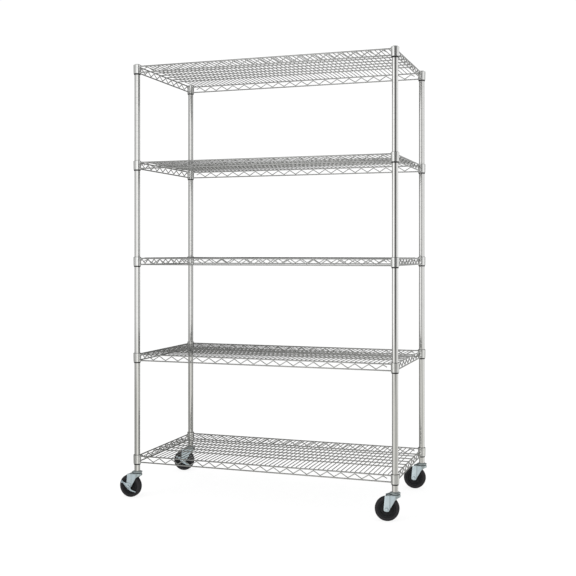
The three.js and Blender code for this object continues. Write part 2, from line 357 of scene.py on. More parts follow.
def smooth(low, high, x):
    """Soft step from 0 at low to 1 at high."""
    t = np.clip((x - low) / (high - low), 0, 1)
    return t * t * (3 - 2 * t)


# --------------------------------------------------------------- shader tools

class Shader:
    """Node tree of a material or world, cleared down to its output node."""

    def __init__(self, owner, output="OutputMaterial"):
        owner.use_nodes = True
        self.tree = owner.node_tree
        self.tree.nodes.clear()
        self.out = self.node(output).inputs[0]

    def feed(self, socket, value):
        """Links a socket to another, or gives it a number, a vector or an RGB colour."""
        if isinstance(value, bpy.types.NodeSocket):
            self.tree.links.new(value, socket)
        elif socket.type == "RGBA":
            socket.default_value = tuple(value) + (1,)
        else:
            socket.default_value = value

    def node(self, kind, inputs=None, **settings):
        node = self.tree.nodes.new("ShaderNode" + kind)
        for name, value in settings.items():
            setattr(node, name, value)
        for key, value in (inputs or {}).items():
            self.feed(node.inputs[key], value)
        return node

    def object_place(self):
        return self.node("TexCoord").outputs["Object"]

    def axes(self, vector):
        return self.node("SeparateXYZ", {0: vector}).outputs

    def noise(self, scale, detail, rough, stretch=None):
        """Noise in object space; stretch scales the three axes first."""
        where = self.object_place()
        if stretch is not None:
            where = self.node("Mapping", {"Scale": stretch, "Vector": where}).outputs[0]
        settings = {"Scale": scale, "Detail": detail, "Roughness": rough, "Vector": where}
        return self.node("TexNoise", settings).outputs["Fac"]

    def remap(self, value, source, target=(0, 1)):
        return self.node("MapRange", {
            "From Min": source[0], "From Max": source[1],
            "To Min": target[0], "To Max": target[1], "Value": value,
        }).outputs[0]

    def math(self, operation, *values, clamp=False):
        inputs = dict(enumerate(values))
        return self.node("Math", inputs, operation=operation, use_clamp=clamp).outputs[0]

    def mix(self, share, first, second):
        return self.node("Mix", {0: share, 6: first, 7: second}, data_type="RGBA").outputs[2]

    def mix_shader(self, share, first, second):
        return self.node("MixShader", {0: share, 1: first, 2: second}).outputs[0]

    def glossy_ray(self):
        return self.node("LightPath").outputs["Is Glossy Ray"]

    def crevice(self, reach):
        """0 in the open, 1 deep in seams and under edges; reach in metres."""
        occlusion = self.node("AmbientOcclusion", {"Distance": reach}, samples=6)
        return self.remap(occlusion.outputs["AO"], (0.80, 0.30))


class Surface(Shader):
    """New material with a Principled shader; the values given here lie under any links."""

    def __init__(self, name, color, metallic, rough):
        self.material = bpy.data.materials.new(name)
        super().__init__(self.material)
        self.bsdf = self.node("BsdfPrincipled", {
            "Base Color": color, "Metallic": metallic, "Roughness": rough})
        self.feed(self.out, self.bsdf.outputs[0])

    def set(self, name, value):
        self.feed(self.bsdf.inputs[name], value)

    def bump(self, height, strength, distance):
        node = self.node("Bump", {"Strength": strength, "Distance": distance, "Height": height})
        self.set("Normal", node.outputs[0])


# ------------------------------------------------------------------- materials

SWING = (0.3, 0.7)          # the band most noise values fall in


def chrome(name, light, dark, rough, streak, grain=1.0, relief=0.10):
    """Bright plating: cloudy reflectance, drawn lines, tiny pits and a dull film in patches.
    streak stretches the lines, grain and relief scale how much they show."""
    surface = Surface(name, light, 1.0, rough + 0.05)
    cloud = surface.noise(scale=14, detail=4, rough=0.6)
    fine = surface.noise(scale=260, detail=3, rough=0.6)
    lines = surface.noise(scale=1.0, detail=2, rough=0.5, stretch=streak)
    film = surface.remap(cloud, (0.35, 0.75))
    color = surface.mix(film, light, dark)
    pits = surface.noise(scale=900, detail=2, rough=0.7)
    pits = surface.remap(pits, (0.66, 0.76), (0, 0.5))
    color = surface.mix(pits, color, tuple(c * 0.45 for c in dark))
    surface.set("Base Color", color)
    film_rough = surface.remap(film, (0, 1), (rough, rough + 0.07))
    roughness = surface.math("ADD", film_rough, surface.remap(lines, SWING, (0, 0.06 * grain)))
    roughness = surface.math("ADD", roughness, surface.remap(fine, SWING, (0, 0.03)))
    surface.set("Roughness", roughness)
    height = surface.math(
        "ADD", surface.math("MULTIPLY", lines, 0.6), surface.math("MULTIPLY", fine, 0.5))
    surface.bump(height, strength=relief * grain, distance=0.0003)
    return surface.material


def fork_painted_shade(surface, sheen, color):
    """Painted shade on the bend and the front wall, which are also made more metallic, painted shade
    on the wing ahead of the crease, and a painted shade line in the crease beside the legs' raised
    band. Places are in metres in the caster's frame."""
    crease_x = -0.0196
    x, _, z = surface.axes(surface.object_place())
    # painted shade on the bend and the front wall, with more metal there
    bend_front_shade = surface.math(
        "MAXIMUM", surface.remap(x, (-0.001, 0.006)), surface.remap(z, (0.1045, 0.1085)))
    sheen = surface.math("ADD", sheen, surface.math("MULTIPLY", bend_front_shade, 0.32), clamp=True)
    color = surface.mix(bend_front_shade, color, (0.60, 0.68, 0.69))
    off_crease = surface.math("ABSOLUTE", surface.math("ADD", x, -crease_x))
    # painted shade on the wing ahead of the crease
    ahead = surface.remap(x, (-0.0200, -0.0185), (0, 0.30))
    color = surface.mix(ahead, color, (0.55, 0.64, 0.69))
    # painted shade line along the crease
    crease_shade = surface.remap(off_crease, (0.0008, 0.0036), (0.42, 0))
    return sheen, surface.mix(crease_shade, color, (0.28, 0.33, 0.34))


def zinc(name, metal=(0.66, 0.52), light=(0.715, 0.825, 0.870), dark=(0.61, 0.72, 0.775),
         fork=False):
    """Bluish zinc plating: soft spangle, brushed scuffs and a dull film. metal is the range of
    the metallic value over the spangle."""
    surface = Surface(name, (0.72, 0.79, 0.82), 0.6, 0.3)
    cloud = surface.noise(scale=60, detail=4, rough=0.6)
    fine = surface.noise(scale=700, detail=3, rough=0.6)
    scuff = surface.noise(scale=1.0, detail=3, rough=0.7, stretch=(160, 160, 900))
    sheen = surface.remap(cloud, SWING, metal)
    color = surface.mix(surface.remap(cloud, (0.35, 0.7)), light, dark)
    # the fork gets painted shade on its bend, front wall, wing and crease
    if fork:
        sheen, color = fork_painted_shade(surface, sheen, color)
    surface.set("Metallic", sheen)
    # scuffs, then painted shade in wide hollows, then darker painted shade in narrow seams
    scuffed = surface.remap(scuff, (0.62, 0.72), (0, 0.35))
    color = surface.mix(scuffed, color, (0.42, 0.45, 0.47))
    hollow = surface.remap(surface.crevice(reach=0.024), (0, 1), (0, 0.75))
    color = surface.mix(hollow, color, (0.20, 0.235, 0.245))
    color = surface.mix(surface.crevice(reach=0.006), color, (0.06, 0.075, 0.08))
    surface.set("Base Color", color)
    surface.set("Roughness", surface.math(
        "ADD", surface.remap(cloud, SWING, (0.26, 0.36)), surface.remap(fine, SWING, (0, 0.07))))
    height = surface.math("ADD", fine, surface.math("MULTIPLY", scuff, 0.5))
    surface.bump(height, strength=0.14, distance=0.0003)
    return surface.material


def rubber(name, base, dusty, rough, grain):
    """Moulded rubber: fine grain, mould bloom and patches of dust, with painted shade at grazing
    angles and in recesses.
    """
    surface = Surface(name, base, 0.0, rough)
    bloom = surface.noise(scale=45, detail=4, rough=0.65)
    dust = surface.noise(scale=220, detail=4, rough=0.7)
    fine = surface.noise(scale=1500, detail=3, rough=0.6)
    bloomed = surface.remap(bloom, (0.4, 0.75), (0, 0.8))
    color = surface.mix(bloomed, base, tuple(c * 1.5 for c in base))
    color = surface.mix(surface.remap(dust, (0.58, 0.75), (0, 0.45)), color, dusty)
    # painted shade at grazing angles
    facing = surface.node("LayerWeight", {"Blend": 0.5}).outputs["Facing"]
    grazing_shade = surface.remap(facing, (0.45, 0.9), (0, 0.75))
    color = surface.mix(grazing_shade, color, (0.004, 0.004, 0.0045))
    # painted shade deep in the recesses round the hub
    seam = surface.math("MULTIPLY", surface.crevice(reach=0.016), 0.9)
    color = surface.mix(seam, color, (0.0015, 0.002, 0.0026))
    surface.set("Base Color", color)
    surface.set("Roughness", surface.remap(bloom, SWING, (rough - 0.06, rough + 0.08)))
    surface.set("Specular IOR Level", 0.22)
    height = surface.math("ADD", fine, surface.math("MULTIPLY", dust, 0.7))
    surface.bump(height, strength=grain, distance=0.0006)
    return surface.material


def plastic(name, light, dark, rough, specular=0.4):
    """Moulded plastic, faintly clouded between two tones."""
    surface = Surface(name, light, 0.0, rough)
    cloud = surface.noise(scale=120, detail=3, rough=0.6)
    fine = surface.noise(scale=1800, detail=2, rough=0.6)
    surface.set("Base Color", surface.mix(surface.remap(cloud, (0.35, 0.7)), light, dark))
    surface.set("Roughness", surface.remap(cloud, SWING, (rough - 0.05, rough + 0.07)))
    surface.set("Specular IOR Level", specular)
    surface.bump(fine, strength=0.2, distance=0.0003)
    return surface.material


POST_CHROME = chrome("post_chrome", light=(0.95, 0.95, 0.935), dark=(0.89, 0.89, 0.875),
                     rough=0.045, streak=(900, 900, 9), grain=0.4, relief=0.02)
WIRE_CHROME = chrome("wire_chrome", light=(0.765, 0.77, 0.76), dark=(0.67, 0.675, 0.66),
                     rough=0.16, streak=(120, 120, 120), grain=0.8)
COLLAR_CHROME = chrome("collar_chrome", light=(0.94, 0.945, 0.935), dark=(0.84, 0.845, 0.83),
                       rough=0.15, streak=(700, 700, 40))
ZINC = zinc("caster_zinc")
FORK_ZINC = zinc("caster_fork_zinc", fork=True)
HEAD_ZINC = zinc("caster_head_zinc", metal=(0.95, 0.85), light=(0.72, 0.80, 0.81),
                 dark=(0.56, 0.64, 0.65))
TREAD_RUBBER = rubber("tread_rubber", base=(0.0205, 0.0195, 0.0215), dusty=(0.08, 0.078, 0.075),
                      rough=0.66, grain=0.35)
CORE_RUBBER = rubber("wheel_core", base=(0.0125, 0.013, 0.0145), dusty=(0.04, 0.041, 0.043),
                     rough=0.42, grain=0.15)
SLEEVE_BLACK = plastic("sleeve_black", light=(0.010, 0.010, 0.011), dark=(0.022, 0.022, 0.023),
                       rough=0.5)
CAP_GREY = plastic("cap_grey", light=(0.44, 0.445, 0.44), dark=(0.52, 0.525, 0.515),
                   rough=0.30, specular=0.5)


# ----------------------------------------------------------------------- shelf
# Local frame: X along the shelf, Y across, z = 0 at the collars' top edge.

DECK_R, RAIL_R, ZIGZAG_R, RIB_R = 1.75, 2.8, 2.0, 2.4       # wire radii
DECK_Z = -4.0
TOP_Z, LOW_Z = -6.6, -33.8                                  # upper and lower rails
WELD = 0.45                                                 # zigzag sunk into the rails
APEX_Z = TOP_Z - RAIL_R - ZIGZAG_R + WELD
FOOT_Z = LOW_Z + RAIL_R + ZIGZAG_R - WELD
RIB_Z = DECK_Z - DECK_R - RIB_R + 0.25
RIB_Y = (-120, -60, 0, 60, 120)
PITCH = 60.0                # zigzag apex to apex
STUB = (17.0, 9.0)          # zigzag's cut end: length past the last apex, and drop
DECK_STEP = 20.0
CLEAR = 20.0                # least from a deck wire to a post's axis, or an apex to a rail's end
COLLAR_IN, COLLAR_LOW_R, COLLAR_HIGH_R = 14.95, 16.7, 17.4
COLLAR_DROP = SLEEVE_RISE - 2.6
RAIL_SINK = 1.2             # rails' ends inside the collars
LONG_STOPS, SHORT_STOPS = (-1, -0.5, 0, 0.5, 1), (-1, 0, 1)
# Deck wire's dipped end: distance in from the end, drop
DIP = ((17, 0), (12, 0.15), (7, 0.6), (3, 1.1), (0, 1.45))
# Weld bead: distance along the rail, radius
BEAD = ((0, 4.4), (0.9, 4.1), (1.9, 3.5), (3.1, 2.9))


def zigzag(half):
    """Feet at odd half pitches, apexes at whole pitches, and a cut stub past the last apex."""
    count = int((half - CLEAR) // PITCH)
    stub_x, stub_z = count * PITCH + STUB[0], APEX_Z - STUB[1]
    points = [(i * PITCH / 2, FOOT_Z if i % 2 else APEX_Z)
              for i in range(-2 * count, 2 * count + 1)]
    return fillet([(-stub_x, stub_z)] + points + [(stub_x, stub_z)], 4.2, 4)


def add_side(shelf, half, stops, point):
    """Two rails and a zigzag. point turns a distance along the side and a height to x, y, z."""
    for z in (TOP_Z, LOW_Z):
        tube(shelf, [point(half * stop, z) for stop in stops], RAIL_R, 16)
    tube(shelf, [point(along, z) for along, z in zigzag(half)], ZIGZAG_R, 12)


def add_deck(shelf):
    """Lengthwise ribs butted against the end rails, and cross wires over them, their dipped ends
    welded to the long rails' inner sides."""
    rib_end = HALF_X - RAIL_R + 0.9
    for y in RIB_Y:
        tube(shelf, [(rib_end * stop, y, RIB_Z) for stop in LONG_STOPS], RIB_R, 12)
    end = HALF_Y - RAIL_R + 1.1
    half = [(120, DECK_Z)] + [(end - inset, DECK_Z - drop) for inset, drop in DIP]
    line = [(-y, z) for y, z in reversed(half)] + [(0, DECK_Z)] + half
    count = int((HALF_X - CLEAR) // DECK_STEP)
    for k in range(-count, count + 1):
        tube(shelf, [(k * DECK_STEP, y, z) for y, z in line], DECK_R, 10)


def add_collar(shelf, side_x, side_y):
    """Tapered pressed collar with rolled edges, and weld beads where the rails run into it."""
    # radius, z, corner radius
    rows = [
        (COLLAR_IN, -COLLAR_DROP, 0.5), (COLLAR_LOW_R, -COLLAR_DROP, 0.9),
        (COLLAR_LOW_R + 0.05, -COLLAR_DROP + 4, 2), (COLLAR_HIGH_R - 0.1, -4, 2),
        (COLLAR_HIGH_R, 0, 0.9), (COLLAR_IN, 0, 0.6),
    ]
    x, y = side_x * HALF_X, side_y * HALF_Y
    revolve(shelf, fillet_rows(rows, 4, closed=True), 48, at=(x, y, 0), mat=1, closed=True)
    for z in (TOP_Z, LOW_Z):
        taper = (COLLAR_HIGH_R - COLLAR_LOW_R) * (z + COLLAR_DROP) / COLLAR_DROP
        start = COLLAR_LOW_R + taper - 0.7
        for rail in ((-side_x, 0, 0), (0, -side_y, 0)):
            rail = np.array(rail, float)
            root = np.array([x, y, z]) + rail * start
            path = [root + rail * along for along, _ in BEAD]
            tube(shelf, path, [radius for _, radius in BEAD], 14, dome=False)


def build_shelf():
    shelf = Mesh()
    reach_x, reach_y = (half - COLLAR_LOW_R + RAIL_SINK for half in (HALF_X, HALF_Y))
    for side in (-1, 1):
        add_side(shelf, reach_x, LONG_STOPS, lambda along, z: (along, side * HALF_Y, z))
        add_side(shelf, reach_y, SHORT_STOPS, lambda along, z: (side * HALF_X, along, z))
    add_deck(shelf)
    for side_x in (-1, 1):
        for side_y in (-1, 1):
            add_collar(shelf, side_x, side_y)
    return shelf.mesh("shelf_mesh", [WIRE_CHROME, COLLAR_CHROME])


shelf_mesh = build_shelf()
for level in LEVELS:
    place("wire_shelf_" + level, shelf_mesh, "frame", "shelf_" + level, "bright_wire",
          Matrix.Translation(Vector((CART_X, CART_Y, SHELF_Z[level])) * MM))


# --------------------------------------------------------------------- sleeves

def build_sleeve():
    """Two moulded halves with a seam gap, a flared lower lip and a bead round the bore."""
    sleeve = Mesh()
    rise = SLEEVE_RISE
    # radius, z, corner radius
    rows = [
        (12.95, -2.6, 0.3), (14.3, -2.6, 0.4), (14.9, -1.4, 0.4), (15.1, 1.0, 0.3),
        (15.0, 2.2, 0.2), (14.65, 2.9, 0.2), (14.6, rise + 0.3, 0.5), (14.3, rise + 0.75, 0.3),
        (13.0, rise + 0.75, 0.2), (12.95, rise * 0.55, 0.3), (12.62, rise * 0.52, 0.15),
        (12.62, rise * 0.48, 0.15), (12.95, rise * 0.45, 0.3),
    ]
    profile = fillet_rows(rows, 3, closed=True)
    gap, seam = math.radians(2.4), 0.35         # width and direction of the seams, as angles
    for k in range(2):
        revolve(sleeve, profile, 24, closed=True, start=k * math.pi + gap / 2 + seam,
                turn=math.pi - gap)
    return sleeve.mesh("sleeve_mesh", [SLEEVE_BLACK])


sleeve_mesh = build_sleeve()
for corner in CORNERS:
    for level in LEVELS:
        spot = "%s_%s" % (level, corner)
        place("split_sleeve_" + spot, sleeve_mesh, "frame", "sleeve_" + spot, "black_plastic",
              at_post(corner, SLEEVE_Z[level]))


# ----------------------------------------------------------------------- posts

POST_R, POST_BORE = 12.7, 11.5
GROOVE_STEP = 25.4
# Groove: height from its middle, depth
GROOVE = ((-1.6, 0), (-0.8, 0), (-0.45, 0.07), (0, 0.14), (0.45, 0.07), (0.8, 0), (1.6, 0))
# Cap's dome: radius, depth below its top
CAP_DOME = ((0, 0), (4.5, 0.08), (8.0, 0.4), (10.3, 1.05), (11.7, 2.0), (12.45, 3.1),
            (POST_R, 4.0))


def build_post():
    """Open tube with a rolled groove at every inch."""
    post = Mesh()
    low, high = POST_LOW, POST_HIGH
    outer = [(POST_R - 0.45, low), (POST_R - 0.12, low + 0.14), (POST_R, low + 0.5),
             (POST_R, low + 1.2)]
    groove_z = low + GROOVE_STEP
    while groove_z < high - 8:
        outer += [(POST_R - depth, groove_z + rise) for rise, depth in GROOVE]
        groove_z += GROOVE_STEP
    outer += [(POST_R, high - 0.4), (POST_R - 0.4, high)]
    bore = [(POST_BORE + 0.2, high), (POST_BORE, high - 0.3), (POST_BORE, low + 0.3),
            (POST_BORE + 0.2, low)]
    revolve(post, outer + bore, 40, closed=True)
    return post.mesh("post_mesh", [POST_CHROME], sharp=60)


def build_cap():
    """Domed cap with a plug that reaches down into the post."""
    cap = Mesh()
    base = POST_HIGH + 0.05
    dome = [(radius, CAP_HIGH - depth) for radius, depth in CAP_DOME]
    plug = [
        (POST_R, base + 0.25), (12.45, base), (11.25, base), (11.2, base - 0.3),
        (11.2, base - 12.5), (10.4, base - 13.7), (0, base - 13.7),
    ]
    revolve(cap, dome + plug, 48)
    return cap.mesh("cap_mesh", [CAP_GREY])


post_mesh, cap_mesh = build_post(), build_cap()
for corner in CORNERS:
    at = at_post(corner)
    place("post_tube_" + corner, post_mesh, "frame", "post_" + corner, "post_chrome", at)
    place("dome_cap_" + corner, cap_mesh, "frame", "post_cap_" + corner, "cap_grey", at)


# --------------------------------------------------------------------- casters
# Local frame: the swivel axis is x = y = 0, the wheel trails towards -X and the axle runs along
# Y, with the bolt's head and the brake on the -Y side and the nut on the +Y side.

ROLL = {corner: JOINTS["roll_" + corner] for corner in CORNERS}
WHEEL_Z = ROLL["front_left"]["pos_m"][2] / MM
TRAIL = (Vector(ROLL["front_left"]["pos_m"][:2]) - POSTS["front_left"].xy).length / MM
# Turns Z into Y and moves the origin to the wheel's middle
AXLE = np.array(Matrix.Translation((-TRAIL, 0, WHEEL_Z)) @ Matrix(
    ((1, 0, 0, 0), (0, 0, 1, 0), (0, -1, 0, 0), (0, 0, 0, 1))), float)


def caster_matrix(corner):
    y = Vector(ROLL[corner]["axis"]).normalized()
    z = Vector((0, 0, 1))
    matrix = Matrix((y.cross(z), y, z)).transposed().to_4x4()
    matrix.translation = at_post(corner).translation
    return matrix


def build_stem():
    """Rivet head, king pin, flanged bearing cup and a threaded stem that hides in the post."""
    stem = Mesh()
    top = POST_LOW - 0.35
    # radius, z, corner radius
    rows = [
        (0, STEM_LOW, 0), (7.4, STEM_LOW, 0.4), (8.6, STEM_LOW + 1.2, 0.4),
        (8.6, STEM_LOW + 3.8, 0.2), (4.8, STEM_LOW + 3.8, 0), (4.8, 112.2, 0),
        (19.2, 112.2, 0.3), (20.2, 113.9, 0.6), (22.7, 114.1, 0.4), (23.4, 115.0, 0.5),
        (23.2, 116.6, 0.7), (21.6, 117.5, 1.2), (18.6, 117.9, 1.2), (16.4, 118.4, 0.8),
        (15.4, 119.2, 0.5), (15.2, top, 0.3), (6.1, top, 0),
    ]
    profile = fillet_rows(rows, 3)
    profile += thread(crest=6.1, root=5.45, width=1.1, pitch=1.6, start=top + 0.4,
                      end=STEM_HIGH - 1.5)
    revolve(stem, profile + [(5.2, STEM_HIGH), (0, STEM_HIGH)], 56)
    return stem.mesh("stem_mesh", [HEAD_ZINC])


# ------------------------------------------------------------------------ fork
# A pressed wall runs in plan along the -Y leg, round the front and back along the +Y leg.

CROWN_Z, BEND = 110.4, 4.2          # middle of the bend's inner edge, and the bend's radius
WALL_Z = CROWN_Z - BEND
LEG_END, LEG_DROP = 11.8, 9.6       # half length and depth of a leg's rounded end
REAR_X = -TRAIL - LEG_END
NOSE_X, NOSE_Y = 21.6, 18.1         # half axes of the front arc
# Stations along a leg: degrees round its end, then x forward to the arc
LEG_ANGLES = (-90, -84, -76, -66, -54, -40, -26, -12, 2, 16, 30, 42, 52)
LEG_X = (-22.2, -21.2, -20.4, -19.6, -18.6, -16.5, -13.5, -10.5, -7.5, -4.5, -1.8)
# Crown plate's sections: growth of the outline, z
CROWN_RINGS = ((-1.0, 109.0), (-0.1, 109.1), (0.25, 109.4), (0.25, 111.3), (0.0, 111.74),
               (-1.2, 111.77))
PIN_HOLE_R = 5.6


def fork_plan():
    """Stations as (side, x) on the legs, with side -1 or 1, and (0, angle) on the front arc."""
    stations = list(-TRAIL + LEG_END * np.sin(np.radians(LEG_ANGLES))) + list(LEG_X)
    arc = [(0, angle) for angle in np.radians(np.linspace(-90, 90, 33))]
    return [(-1, x) for x in stations] + arc + [(1, x) for x in reversed(stations)]


def rear(z):
    """The legs' rear edge, which leans forward above the axle."""
    return REAR_X + 4.4 * float(np.clip((z - 56) / 50, 0, 1))


def lean(x, z):
    """A leg station's x at height z: stations are spread evenly from the rear edge to x = 0."""
    return rear(z) * x / REAR_X


def half_width(x):
    """Half the fork's width: a step in front of the raised band, then a slight taper."""
    step = 1.15 * float(smooth(-21.6, -18.6, x))
    return 19.95 - step - 0.7 * float(np.clip((x + 18.6) / 18.6, 0, 1))


def lower_edge(x):
    """Height of the lower edge: rounded end, straight slope, then a sweep up to the front."""
    if x < -TRAIL + LEG_END * 0.80:
        share = abs(x + TRAIL) / LEG_END
        return WHEEL_Z - LEG_DROP * max(1 - share ** 2.6, 0.0) ** (1 / 2.6) + 0.02
    if x < 0:
        return WHEEL_Z + 0.2 + (x + TRAIL - 12.6) / 0.575
    return 99.6 - 13.4 * (1 - x / NOSE_X) ** 1.7


def fork_column(side, station):
    """Points up the wall from its lower edge and in over the bend, at one station."""
    if side:
        plan_x, plan_y, out_x, out_y = station, side * half_width(station), 0.0, side
        bent = float(smooth(-31.5, -25.5, station))     # 0 where the top edge is free
    else:
        cos, sin = math.cos(station), math.sin(station)
        plan_x, plan_y = NOSE_X * cos, NOSE_Y * sin
        out_x, out_y = cos / NOSE_X, sin / NOSE_Y
        length = math.hypot(out_x, out_y)
        out_x, out_y = out_x / length, out_y / length
        bent = 1.0

    def fade(in_bend, free):
        return in_bend * bent + free * (1 - bent)

    bottom = lower_edge(plan_x)
    free_top = 105.6 + 3.6 * float(np.clip((plan_x + 44) / 14, 0, 1))
    wall_top = fade(WALL_Z, free_top - 1.6)
    column = []
    for t in np.linspace(0, 1, 15):
        z = bottom + (wall_top - bottom) * (t ** 1.15)
        x, y = plan_x, plan_y
        if side:
            x = lean(station, z)
            # the rear edge is rolled slightly inward
            y -= side * 1.1 * (1 - float(smooth(0.0, 2.6, x - rear(z))))
        column.append((x, y, z))
    for share in np.linspace(0, 1, 7)[1:]:
        angle = share * math.pi / 2
        inward = fade(BEND * (1 - math.cos(angle)), 0.5 * share ** 2)
        rise = fade(BEND * math.sin(angle), 1.5 * share)
        column.append((x - out_x * inward, y - out_y * inward, wall_top + rise))
    x, y, z = column[-1]
    lip = fade(1.6, 0.15)
    column.append((x - out_x * lip, y - out_y * lip, z + fade(0, 0.25)))
    return column


def add_crown(fork):
    """Crown plate inside the bend with a round hole for the king pin. It stops short of the
    legs' rear corners, and its rear edge is bowed forward between them."""
    inset = BEND + 0.2
    outline = []
    for side, station in fork_plan():
        if not side:
            outline.append(((NOSE_X - inset) * math.cos(station),
                            (NOSE_Y - inset) * math.sin(station)))
        elif station >= -27.0:
            outline.append((lean(station, CROWN_Z), side * (half_width(station) - inset)))
    end_x, end_y = outline[0][0], abs(outline[0][1])
    for t in np.linspace(1, -1, 13)[1:-1]:
        outline.append((end_x + 0.2 + 1.6 * (1 - t * t), end_y * t))
    outline = np.array(outline)
    rays = outline - np.mean(outline, axis=0)
    rays /= np.linalg.norm(rays, axis=1)[:, None]
    rings = [[(x, y, z) for x, y in outline + rays * grow] for grow, z in CROWN_RINGS]
    # the hole has one point for each outline point
    hole = PIN_HOLE_R * outline / np.linalg.norm(outline, axis=1)[:, None]
    rings += [[(x, y, z) for x, y in hole] for z in (CROWN_RINGS[-1][1], CROWN_RINGS[0][1])]
    loft(fork, rings, mat=1, closed=True)


def build_fork():
    """Two legs with a flat raised band each, joined by a front wall, a rounded bend, a crown
    plate and a ball race drawn below and above it."""
    fork = Mesh()
    sheet(fork, [fork_column(*station) for station in fork_plan()], 2.6, edge=0.4)
    add_crown(fork)
    lower_race = [(9.2, 109.2), (9.2, 107.2), (10.2, 106.6), (14.6, 106.4), (16.0, 107.4),
                  (16.2, 109.4)]
    revolve(fork, fillet(lower_race, 0.5, 3, closed=True), 40, closed=True)
    upper_race = [(9.5, 111.2), (9.5, 111.95), (18.2, 111.95), (19.4, 111.2)]
    revolve(fork, fillet(upper_race, 0.25, 2, closed=True), 56, closed=True)
    return fork.mesh("fork_mesh", [FORK_ZINC, HEAD_ZINC], sharp=50)


# ------------------------------------------------- wheel, axle and foot brake

def build_tread():
    tread = Mesh()
    # radius, place along the axle
    half = [
        (37.2, -13.4), (38.6, -14.6), (43.6, -15.0), (46.6, -14.5), (48.8, -12.9),
        (50.1, -10.2), (50.65, -6.2), (WHEEL_Z, -2.2),
    ]
    profile = fillet(mirrored(half) + [(36.4, 12.4), (36.4, -12.4)], 1.4, 3, closed=True)
    revolve(tread, profile, 96, closed=True, xform=AXLE)
    return tread.mesh("tread_mesh", [TREAD_RUBBER])


# Web of the core: distance from the axle, height above the core's face
WEB = ((12.0, 1.0), (16, 2.7), (21, 2.4), (26, 2.5), (30.2, 3.2))
WEB_HALF, WEB_BASE = 1.5, 8.6       # half width, and the face's distance from the middle


def build_core():
    """Wheel core with six low webs between hub and rim on each face."""
    core = Mesh()
    # radius, place along the axle, corner radius
    half = [
        (5.3, -17.05, 0.3), (11.6, -17.05, 0.8), (12.9, -16.2, 0.8), (13.6, -11.2, 0.8),
        (15.4, -9.6, 0.8), (27.2, -9.2, 0.8), (29.4, -10.4, 0.8), (30.4, -13.2, 0.8),
        (32.0, -14.0, 0.8), (35.4, -14.0, 0.8), (36.4, -12.9, 0.4),
    ]
    profile = fillet_rows(mirrored(half), 3, closed=True)
    revolve(core, profile, 72, closed=True, xform=AXLE)
    # across the web: share of the half width, and height from the one along it
    web = np.array([[
        (along, -WEB_HALF, WEB_BASE + 0.2), (along, -WEB_HALF * 0.8, WEB_BASE + height),
        (along, 0, WEB_BASE + height + 0.25), (along, WEB_HALF * 0.8, WEB_BASE + height),
        (along, WEB_HALF, WEB_BASE + 0.2),
    ] for along, height in WEB])
    for k in range(6):
        angle = k * math.pi / 3 + 0.3
        cos, sin = math.cos(angle), math.sin(angle)
        for side in (-1, 1):
            grid = web @ np.array([[cos, -sin, 0], [sin, cos, 0], [0, 0, 1]]).T
            grid[..., 2] *= side
            sheet(core, moved(grid, AXLE), 0.9, edge=0.25)
    return core.mesh("core_mesh", [CORE_RUBBER])


def build_bolt(seat, washer_r):
    """Hex-headed axle bolt with a washer; seat is the washer's distance from the middle."""
    bolt = Mesh()
    washer = [(4.4, -seat - 1.1), (washer_r - 0.3, -seat - 1.1), (washer_r, -seat - 0.8),
              (washer_r, -seat - 0.02), (4.4, -seat - 0.02)]
    revolve(bolt, fillet(washer, 0.25, 2, closed=True), 36, closed=True, xform=AXLE)
    hex_prism(bolt, flats=10.0, low=-seat - 4.4, high=-seat - 1.0, chamfer=0.8, xform=AXLE)
    shank = [(0, -seat - 1.2), (4.3, -seat - 1.2), (4.3, 20.5)]
    shank += thread(crest=4.3, root=3.85, width=0.9, pitch=1.2, start=21.0, end=27.6)
    revolve(bolt, shank + [(3.4, 28.5), (0, 28.5)], 32, xform=AXLE)
    return bolt.mesh("bolt_mesh", [ZINC])


def build_nut():
    """Axle nut with its washer."""
    nut = Mesh()
    washer = [(4.45, 21.5), (8.4, 21.5), (8.6, 21.8), (8.6, 22.5), (4.45, 22.6)]
    revolve(nut, fillet(washer, 0.25, 2, closed=True), 36, closed=True, xform=AXLE)
    hex_prism(nut, flats=13.0, low=22.6, high=27.4, chamfer=0.9, xform=AXLE)
    return nut.mesh("nut_mesh", [ZINC])


def drill(mesh, radius, low, high):
    """The mesh with a round hole along the axle between low and high."""
    cut = Mesh()
    revolve(cut, [(0, low), (radius, low), (radius, high), (0, high)], 40, xform=AXLE)
    part = new_object("drill_part", mesh)
    bit = new_object("drill_bit", cut.mesh("drill_bit_mesh", []))
    hole = part.modifiers.new("hole", "BOOLEAN")
    hole.operation = "DIFFERENCE"
    hole.solver = "EXACT"
    hole.object = bit
    depsgraph = bpy.context.evaluated_depsgraph_get()
    drilled = bpy.data.meshes.new_from_object(part.evaluated_get(depsgraph))
    for ob in (part, bit):
        bpy.data.objects.remove(ob)
    return drilled


# Brake plate's two edges from the pad to the tip, as (x, z) from the axle: plain, turned out
BRAKE_EDGES = (
    ((-34.4, 26.0), (-35.6, 22.4)), ((-28.6, 21.4), (-29.5, 17.6)), ((-23, 17.6), (-23.8, 12.4)),
    ((-16.5, 15.3), (-18.5, 6.8)), ((-5.5, 14.6), (-13.5, 1.2)), ((5, 14.2), (-8.4, -3.8)),
    ((10.6, 12.4), (-6, -6)), ((11.4, 8), (-3.3, -8.2)), ((9.6, 3), (0.2, -10.8)),
    ((8.6, -2), (3.6, -12.6)), ((9.6, -7.4), (7.2, -14.6)), ((12.8, -11.8), (10.8, -16.6)),
    ((18, -15.0), (15.4, -18.4)), ((27, -18.0), (25, -20.6)), ((36.5, -20.4), (36.3, -22.6)),
)
BRAKE_Y = -23.1
TURN_R, FLANGE = 1.5, 1.2           # radius of the turned edge, and the flange beyond it


